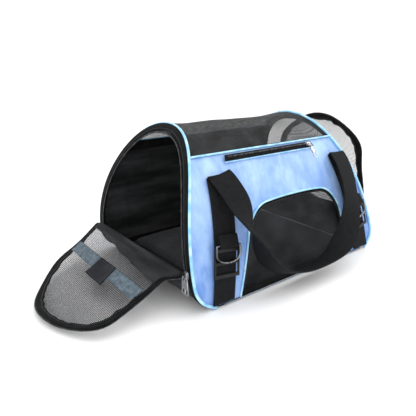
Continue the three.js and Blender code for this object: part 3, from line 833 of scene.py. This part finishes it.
class DoorMove:  # opens a point of the closed door and lets the cloth hang
    def __init__(self, end):
        self.end, self.hinge = end, hingeOf(end)
        self.turn = Matrix.Rotation(swingOf(end), 4, "Y")
        self.facing = (self.turn @ Vector((end, 0, 0, 0))).to_3d()

    def __call__(self, point):
        q = self.turn @ (point - self.hinge)
        slack = doorSet["slack"][self.end]  # the open door's cloth reaches less far than it is long
        q.x, q.z = q.x * slack, q.z * slack
        q += self.hinge
        run = math.hypot(q.x - self.hinge.x, q.z - self.hinge.z)
        away = math.exp(-((run - .140) / .034) ** 2)
        if self.end < 0 and q.y > 0:
            away = 1.3 * math.exp(-((run - .118) / .046) ** 2)
        q.y *= 1 + doorSet["boxy"] * away
        if self.end < 0:
            shift = doorSet["skew"] * math.cos(math.pi * run / .150)
            q.y += shift * (smooth(run / .026) if q.y < 0 else smooth(run / .008 + .4))
            lift = doorSet["lift"] * math.sin(math.pi * min(run / .172, 1))
            lift -= .0022 * lump(q.x, q.y, 81, .07) * smooth(run / .04)
            q.z = max(q.z + lift, .0026 + .0016 * (.5 + .5 * lump(q.x, q.y, 83, .05)))  # rests on the floor
        else:
            q.x += .004 * lump(q.y, q.z, 85, .09) * smooth(run / .05)
        return q


def doorSheet(name, end, move, low, high, depth, back, cells, thick, halfLimit=9, ripple=0.0, edge=0.0,
              slant=0.0):
    def put(u, v):
        if high < shell["height"] - .010:
            z = mix(low, high, v)
            t = wallTurn(z, depth)
        else:  # up to the crown, with its rows closest there
            t = mix(wallTurn(low, depth), 1, smooth(v) * .35 + v * .65)
            z = wallAt(t, depth)[1]
        half = min(wallAt(t, depth)[0], halfLimit)
        y = mix(-half, half, u)
        z += edge * lump(y, v, 91, .04) * smooth(v * 3 - 2)
        z = low + (z - low) * (1.25 - slant * smooth((y + .08) / .17)) if slant else z
        return move(Vector((endAt(end, z) - end * (back + ripple * lump(y, z, 93, .03)), y, z)))

    rise = runOf([put(.5, i / 24) for i in range(25)]) / doorSet["slack"][end]

    def flat(u, v):
        half = min(wallAt(wallTurn(mix(low, high, v), depth), depth)[0], halfLimit)
        return mix(-half, half, u), low + rise * v

    return cloth(name, cells, put, flat, lambda c: move.facing, thick, weld=True)


for label, end in ends:
    body = label + "_door"
    move = DoorMove(end)
    foot = doorSet["foot"]
    zipEdge = doorSet["inset"] + doorSet["zipWidth"]
    inner = zipEdge + doorSet["binding"]
    facing = move.facing + Vector((0, 0, .0001))
    net = doorSheet(label + "DoorNet", end, move, foot, .25, inner - .002, .0010, (96, 80), .0002)
    place(net, body, [label + "_door_mesh"], doorNet)
    sewn(net)
    strip = doorSheet(label + "DoorStrip", end, move, foot - .003, foot + doorSet["strip"][end], inner - .003,
                      .0026, (90, 14), .0012, edge=.005, slant=doorSet["slant"][end])
    place(strip, body, [label + "_door_strip"], lining)
    sewn(strip)
    put, rimBand = archStrip(label + "DoorBinding", end, zipEdge - .0008, inner - .0004, foot, .0002,
                             (170, 7), .0026, move=move, wobble=.0035, bulge=.0010)
    place(rimBand, body, [label + "_door_binding"], tape)
    for face, lift in (("Outer", .0002), ("Inner", -.0028)):
        line = [Vector(put(i / 260, .8)) + move.facing * lift for i in range(261)]
        sewRow(label + face + "BindingStitches", line, facing, body)
    put, zipTape = archStrip(label + "DoorZip", end, doorSet["inset"], zipEdge, foot, .0006, (170, 3), .0009,
                             move=move)
    place(zipTape, body, [label + "_door_zip"], tape)
    line = [Vector(put(i / 240, .12)) for i in range(241)]
    zipTeeth(label + "DoorZipTeeth", line, facing, body)

    if end < 0:
        middle, width = doorSet["band"]
        low = doorSet["sill"] + middle - width / 2
        band = doorSheet("frontDoorWebbing", end, move, low, low + width, inner - .001, .0042, (90, 8), .0011,
                         ripple=.0006)
        place(band, body, ["front_door_webbing"], bandWeave)
        wide, tall, rise = doorSet["patch"]
        low = doorSet["sill"] + middle + rise - tall / 2
        patch = doorSheet("frontDoorPatch", end, move, low, low + tall, inner, .0056, (24, 18), .0016,
                          halfLimit=wide / 2)
        place(patch, body, ["front_door_patch"], loopCloth)
print("doors made")


webSet = {"width": .040, "thick": .0020, "top": .1847, "foot": .0068, "off": .0006}
glideSet = {"height": .067, "wide": .047, "tall": .044, "bar": .006, "side": .0034, "thick": .0026}
ringSet = {"height": .092, "inner": .040, "deep": .027, "wire": .0032, "out": .0095}
tabSet = {"long": .016, "wide": .034, "thick": .0013, "clear": .0014}
strapFoot = {-1: .170, 1: .168}  # a strap's middle from the bag's middle, at the base
strapTop = {-1: .148, 1: .124}  # the same at its top


def strapX(end, z):
    return end * mix(strapFoot[end], strapTop[end], (z - webSet["foot"]) / (webSet["top"] - webSet["foot"]))


def wallFrame(x, height, side, lean, out):  # X along the bag, Y up the wall, Z outwards
    t = wallTurn(height)
    y, z = wallAt(t, -out)
    slope = wallSlope(t)
    up = Vector((0, side * slope.y, slope.z))
    outwards = Vector((0, side * slope.z, -slope.y))
    frame = axes(up.cross(outwards), up, outwards, Vector((x, side * y, z)))
    return frame @ Matrix.Rotation(lean, 4, "Z")


def ribbon(name, count, centre, across, width, thick, body, stands):
    def put(u, v):
        return centre(u) + across(u) * mix(-width / 2, width / 2, v)

    run = runOf([centre(i / 60) for i in range(61)])
    piece = cloth(name, (count, 6), put, lambda u, v: (mix(-width / 2, width / 2, v), u * run), outOfAxis,
                  thick, offset=0)
    soft = piece.modifiers.new("edges", "BEVEL")
    soft.width, soft.segments, soft.limit_method, soft.angle_limit = .0005, 2, "ANGLE", math.radians(50)
    place(piece, body, stands, strapWeave)
    return run


def ringLine():
    half, deep = ringSet["inner"] / 2 + ringSet["wire"] / 2, ringSet["deep"] + ringSet["wire"] / 2
    line = [Vector((-half, 0, 0)), Vector((half, 0, 0))]
    bend = -deep + half * .75
    line += [Vector((half, mix(0, bend, i / 3), 0)) for i in range(1, 4)]
    for i in range(1, 24):
        t = i / 24
        x = half * ((1 - t) ** 3 + 3 * t * (1 - t) ** 2 - 3 * t * t * (1 - t) - t ** 3)
        y = bend * ((1 - t) ** 3 + t ** 3) - deep * (3 * t * (1 - t) ** 2 + 3 * t * t * (1 - t))
        line.append(Vector((x, y, 0)))
    line += [Vector((-half, mix(bend, 0, i / 3), 0)) for i in range(3)]
    return line


def glidePlate(name, frame):
    wide, tall, bar, side, thick = (glideSet[size] for size in ("wide", "tall", "bar", "side", "thick"))
    shape = bmesh.new()
    for y in (-tall / 2 + bar / 2, 0, tall / 2 - bar / 2):
        addBlock(shape, (wide, bar * (.8 if y == 0 else 1), thick), (0, y, thick / 2))
    for x in (-wide / 2 + side / 2, wide / 2 - side / 2):
        addBlock(shape, (side, tall - .0006, thick * .9), (x, 0, thick / 2))
    bevelled(shape, shape.edges[:], .0008)
    return toObject(name, shape, frame)


handleLine = [(-.1480, .0030, .1826), (-.1478, .0052, .1850), (-.1466, .0084, .1826), (-.1420, .0150, .1660),
              (-.1370, .0200, .1480), (-.1315, .0235, .1290), (-.1260, .0262, .1070), (-.1180, .0280, .0840),
              (-.1050, .0290, .0600), (-.0830, .0295, .0400), (-.0540, .0300, .0270), (-.0180, .0300, .0215),
              (.0200, .0300, .0230), (.0560, .0295, .0330), (.0840, .0285, .0520), (.1020, .0270, .0780),
              (.1120, .0245, .1060), (.1180, .0205, .1330), (.1220, .0150, .1600), (.1236, .0085, .1810),
              (.1240, .0054, .1850), (.1240, .0030, .1828)]


def curveAt(points, t):  # smooth line through points
    place, count = t * (len(points) - 1), len(points) - 1
    i = min(int(place), count - 1)
    f = place - i
    p = [np.array(points[min(max(k, 0), count)]) for k in (i - 1, i, i + 1, i + 2)]
    return .5 * (2 * p[1] + (p[2] - p[0]) * f + (2 * p[0] - 5 * p[1] + 4 * p[2] - p[3]) * f * f
                 + (3 * p[1] - p[0] - 3 * p[2] + p[3]) * f ** 3)


for label, side in sides:
    for endLabel, end in ends:
        name = label + endLabel.capitalize()
        node = f"{label}_{endLabel}"

        def centre(u, side=side, end=end):
            z = mix(webSet["foot"], webSet["top"], u)
            out = webSet["off"] + webSet["thick"] / 2 + .0003 * lump(z, end, 95 + side, .03)
            y, lift = wallAt(wallTurn(z), -out)
            return Vector((strapX(end, z), side * y, lift))

        ribbon(name + "Strap", 40, centre, lambda u: Vector((1, 0, 0)), webSet["width"], webSet["thick"],
               "bag", [node + "_strap"])
        lean = -side * end * math.atan2(strapFoot[end] - strapTop[end], webSet["top"] - webSet["foot"])
        glideOut = webSet["off"] + webSet["thick"] + .0012
        glideFrame = wallFrame(strapX(end, glideSet["height"]), glideSet["height"], side, lean, glideOut)
        place(glidePlate(name + "Glide", glideFrame), "bag", [node + "_glide"], plastic)

        frameHere = wallFrame(strapX(end, ringSet["height"]), ringSet["height"], side, lean, ringSet["out"])
        ring = tube(name + "Ring", [frameHere @ p for p in ringLine()], ringSet["wire"] / 2, closed=True)
        place(ring, node + "_ring", [node + "_ring"], darkMetal)

        def tabCentre(u, frameHere=frameHere):  # webbing folded round the ring's bar
            radius, leg = ringSet["wire"] / 2 + tabSet["clear"], .35
            if u < leg:
                spot = (0, mix(tabSet["long"], 0, u / leg), mix(-radius - .0006, -radius, u / leg))
            elif u < 1 - leg:
                turn = math.pi * (u - leg) / (1 - 2 * leg)
                spot = (0, -radius * math.sin(turn), -radius * math.cos(turn))
            else:
                t = (u - 1 + leg) / leg
                spot = (0, mix(0, tabSet["long"], t), mix(radius, -radius + .0018, t))
            return frameHere @ Vector(spot)

        barWay = (frameHere @ Vector((1, 0, 0, 0))).to_3d()
        ribbon(name + "RingTab", 44, tabCentre, lambda u: barWay, tabSet["wide"], tabSet["thick"], "bag",
               [node + "_ring_tab"])

    def handleCentre(u, side=side):
        x, out, z = curveAt(handleLine, u)
        y, lift = wallAt(wallTurn(max(z, .0106)), -out)
        return Vector((x, side * y, lift if z > .0106 else z))

    def handleAcross(u, side=side):
        if u < .05 or u > .95:  # flat on the strap at both sewn ends
            return Vector((1 if u < .5 else -1, 0, 0))
        ahead = (handleCentre(min(u + .012, 1)) - handleCentre(max(u - .012, 0))).normalized()
        level = (ahead.cross(Vector((0, side, 0))) * side).normalized()
        flat = 1 - smooth((min(u, 1 - u) - .05) / .07)
        level = level.lerp(Vector((1 if u < .5 else -1, 0, 0)), flat).normalized()
        twist = smooth((u - .17) / .22 if u < .5 else (.80 - u) / .26) * math.pi / 2
        edgeOn = Vector((0, side * math.cos(.42), math.sin(.42)))
        return (level * math.cos(twist) - edgeOn * math.sin(twist)).normalized()

    handleRun = ribbon(label + "Handle", 160, handleCentre, handleAcross, webSet["width"] * .97, .0021,
                       label + "_handle", [label + "_handle"])
print("webbing made", round(handleRun, 3))


pocketSet = {"length": .198, "centre": -.022, "tall": .0115, "drop": .0034, "out": .0008,
             "slider": .012, "sliderOut": .0036}
sliderSet = {"body": (.010, .0062, .0034),
             "pull": .025, "wide": .0066, "thick": .0014, "eye": .36, "rim": 1.62,
             "half": .003, "over": .0027,  # the hinge line, down from the slider's middle and out from it
             "front": {"rise": .007, "depth": .005, "out": .0037}, "apart": .0032,
             "rear": {"height": .152, "depth": .0112, "out": .0034}}
pocketTop = shell["seam"] - .004 - pocketSet["drop"] / wallRun(1)
pocketLow = pocketTop - pocketSet["tall"] / wallRun(1)


def pocketPut(u, v):
    x = pocketSet["centre"] + mix(-1, 1, u) * pocketSet["length"] / 2 + .004 * (v - .5) * (1 - 2 * u)
    y, z = wallAt(mix(pocketLow, pocketTop, v), -pocketSet["out"] - .0005 * math.sin(math.pi * v))
    return x, -y, z


welt = cloth("pocketWelt", (120, 6), pocketPut, lambda u, v: (u * .198, v * .0095), outOfAxis, .0009)
place(welt, "bag", ["pocket_zip"], tape)
line = [Vector(pocketPut(i / 120, .62)) + Vector((0, -.0006, .0004)) for i in range(3, 117)]
zipTeeth("pocketZipTeeth", line, Vector((0, -.55, .83)), "bag")
line = [Vector(pocketPut(i / 60, -.16)) + Vector((0, -.0001, 0)) for i in range(61)]
place(tube("pocketPiping", line, .0009), "bag", (), cover)


def sliderBody(name, frame):  # two plates, the neck between them and the bridge on top
    long, wide, thick = sliderSet["body"]
    shape = bmesh.new()
    addBlock(shape, (long, wide, thick * .3), (0, 0, -thick * .35))
    addBlock(shape, (long * .92, wide * .9, thick * .34), (0, 0, thick * .10))
    addBlock(shape, (long * .22, wide * .5, thick * .5), (long * .12, 0, -thick * .08))
    addBlock(shape, (long * .5, wide * .26, thick * .24), (0, 0, thick * .38))
    bevelled(shape, shape.edges[:], .00035)
    return toObject(name, shape, frame)


def hook(name, frame, shift):  # the slider's bail, bent over the top wire of a pull
    hinge, over, wire = -sliderSet["half"], sliderSet["over"], .0008
    shape = bmesh.new()
    addBlock(shape, (.0012, wire, .0032), (shift, hinge + .0018, over - .0002))
    addBlock(shape, (.0012, .0040, wire), (shift, hinge + .0002, over + .0014))
    addBlock(shape, (.0012, wire, .0020), (shift, hinge - .0014, over + .0008))
    bevelled(shape, shape.edges[:], .0002)
    return toObject(name, shape, frame)


def pullTab(name, frame, shift):
    long, wide, thick = sliderSet["pull"], sliderSet["wide"], sliderSet["thick"]
    shape = bmesh.new()
    eye = wide * sliderSet["eye"]
    ring = bmesh.ops.create_circle(shape, cap_ends=False, segments=20, radius=eye)["verts"]
    top, bottom = -.0025, -long + .0032  # middles of the loop's two round ends
    for v in ring:  # a long loop: the top half stays at the slider, the bottom half moves down
        v.co.y = v.co.y + top if v.co.y > 0 else v.co.y + bottom
        v.co.x *= 1.25 if v.co.y < -long / 2 else .8
    bmesh.ops.remove_doubles(shape, verts=shape.verts, dist=1e-7)
    grown = bmesh.ops.extrude_edge_only(shape, edges=shape.edges[:])
    for v in (g for g in grown["geom"] if isinstance(g, bmesh.types.BMVert)):
        middle = Vector((0, top if v.co.y > -long / 2 else bottom, 0))
        v.co = middle + (v.co - middle) * sliderSet["rim"]
    addBlock(shape, (wide * .86, long * .48, thick * .1), (0, -long * .42, 0))
    bmesh.ops.delete(shape, geom=[f for f in shape.faces if abs(f.normal.z) < .5], context="FACES_ONLY")
    outer = eye * sliderSet["rim"]
    root = -sliderSet["half"] - outer + thick / 2 - top  # the loop's top wire lies on the hinge line
    bmesh.ops.translate(shape, vec=(shift, root, sliderSet["over"]), verts=shape.verts)
    bmesh.ops.transform(shape, matrix=frame, verts=shape.verts)
    bmesh.ops.recalc_face_normals(shape, faces=shape.faces)
    piece = toObject(name, shape)
    walls = piece.modifiers.new("thickness", "SOLIDIFY")
    walls.thickness, walls.offset = thick, 0
    soft = piece.modifiers.new("edges", "BEVEL")
    soft.width, soft.segments, soft.limit_method = .0003, 2, "ANGLE"
    return piece


def addPull(start, tag, frame, shift, body, node):  # a pull and the bail that holds it
    place(hook(start + "Hook" + tag, frame, shift), body, (), brightMetal)
    place(pullTab(start + "Pull" + tag, frame, shift), node, [node], brightMetal)


pocketMid = wallAt((pocketLow + pocketTop) / 2)[1]
pocketX = pocketSet["centre"] + pocketSet["length"] / 2 - pocketSet["slider"]
pocketFrame = wallFrame(pocketX, pocketMid, -1, 0, pocketSet["sliderOut"])
place(sliderBody("pocketSlider", pocketFrame), "pocket_slider", ["pocket_slider"], brightMetal)
addPull("pocket", "", pocketFrame, 0, "pocket_slider", "pocket_pull")


def endFrame(end, height, depth, out):  # X across the bag, Y up the end, Z outwards
    s = -(1 - wallTurn(height, depth))
    y, z = archAt(s, depth)
    up = Vector((endAt(end, z + .001) - endAt(end, z - .001), 0, .002)).normalized()
    across = Vector((0, end, 0))
    return axes(across, up, across.cross(up), Vector((endAt(end, z) + end * out, y, z)))


upright = Matrix.Rotation(math.pi / 2, 4, "Z")
spot = sliderSet["front"]
frontFrame = endFrame(-1, doorSet["sill"] + spot["rise"], spot["depth"], spot["out"])
place(sliderBody("frontSlider", frontFrame @ upright), "bag", ["front_slider"], brightMetal)
for tag, shift in (("left", -sliderSet["apart"]), ("right", sliderSet["apart"])):
    addPull("front", tag.capitalize(), frontFrame, shift, "bag", "front_pull_" + tag)
spot = sliderSet["rear"]
rearFrame = endFrame(1, spot["height"], spot["depth"], spot["out"])
place(sliderBody("rearSlider", rearFrame @ upright), "bag", ["rear_slider"], brightMetal)
addPull("rear", "", rearFrame, 0, "bag", "rear_pull")
print("sliders made")


baseSet = {"corner": .006, "edge": .0005}
matSet = {"corner": .016, "edge": .002, "inset": (.002, .002, .0005),
          "voxel": .004, "pressure": 3.5, "steps": 14, "rise": .004}
low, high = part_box("base_panel")


def slab(name, low, high, corner, soft):
    shape = bmesh.new()
    size = [b - a for a, b in zip(low, high)]
    addBlock(shape, size, [(a + b) / 2 for a, b in zip(low, high)])
    upright = [e for e in shape.edges if abs((e.verts[0].co - e.verts[1].co).z) > size[2] * .9]
    bevelled(shape, upright, corner, 8)
    rimEdges = [e for e in shape.edges if e.is_manifold and abs(e.calc_face_angle(0) - math.pi / 2) < .2
                and abs((e.verts[0].co - e.verts[1].co).z) < 1e-6]
    bevelled(shape, rimEdges, soft)
    return toObject(name, shape)


panel = slab("basePanel", low, high, baseSet["corner"], baseSet["edge"])
basePanel = place(panel, "bag", ["base_panel"], tape)
frame["nodes"]["base_board"].data.materials.clear()
frame["nodes"]["base_board"].data.materials.append(boardCard)

low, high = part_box("floor_mat")
matLow = [a + inset for a, inset in zip(low, matSet["inset"])]
matHigh = [b - inset for b, inset in zip(high, matSet["inset"])]
mat = slab("floorMat", matLow, matHigh, matSet["corner"], matSet["edge"])
bpy.context.collection.objects.link(mat)


def applied(piece):  # the piece with its modifiers worked into its mesh
    bpy.context.view_layer.update()
    mesh = bpy.data.meshes.new_from_object(piece.evaluated_get(bpy.context.evaluated_depsgraph_get()))
    piece.modifiers.clear()
    piece.data = mesh


def puffMat(piece):  # swells under light pressure, never past its own space
    voxels = piece.modifiers.new("voxels", "REMESH")
    voxels.mode, voxels.voxel_size = "VOXEL", matSet["voxel"]
    applied(piece)
    rest = [v.co.copy() for v in piece.data.vertices]
    sim = piece.modifiers.new("cloth", "CLOTH")
    sim.settings.use_pressure = True
    sim.settings.uniform_pressure_force = matSet["pressure"]
    sim.settings.effector_weights.gravity = 0
    scene = bpy.context.scene
    for step in range(1, matSet["steps"] + 1):
        scene.frame_set(step)
    applied(piece)
    scene.frame_set(1)
    for v, start in zip(piece.data.vertices, rest):
        move = v.co - start
        if move.length > matSet["rise"]:
            v.co = start + move.normalized() * matSet["rise"]
        v.co.z = max(v.co.z, low[2] + .0003)
        v.co.x, v.co.y = (min(max(c, a + .0005), b - .0005) for c, a, b in zip(v.co[:2], low[:2], high[:2]))


puffMat(mat)
for face in mat.data.polygons:
    face.use_smooth = True
mat.data.materials.clear()
mat.data.materials.append(matCloth)
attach(mat, "floor_mat")
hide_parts("floor_mat")
print("base and mat made")


def paperGrain(place, cloth):
    colour = place.cloud(3, 2).tint((.93, .93, .94, 1), (.96, .96, .96, 1))
    grain = place.cloud(400, 2)
    return looks(colour, place.cloud(8, 2) * .1 + .8, grain, .00002)


paper = finish("paper", paperGrain)
shape = bmesh.new()
bmesh.ops.create_grid(shape, x_segments=4, y_segments=4, size=14)
floor = toObject("floor", shape)
floor.data.materials.append(paper)
bpy.context.collection.objects.link(floor)

bpy.context.view_layer.update()
print("scene done")
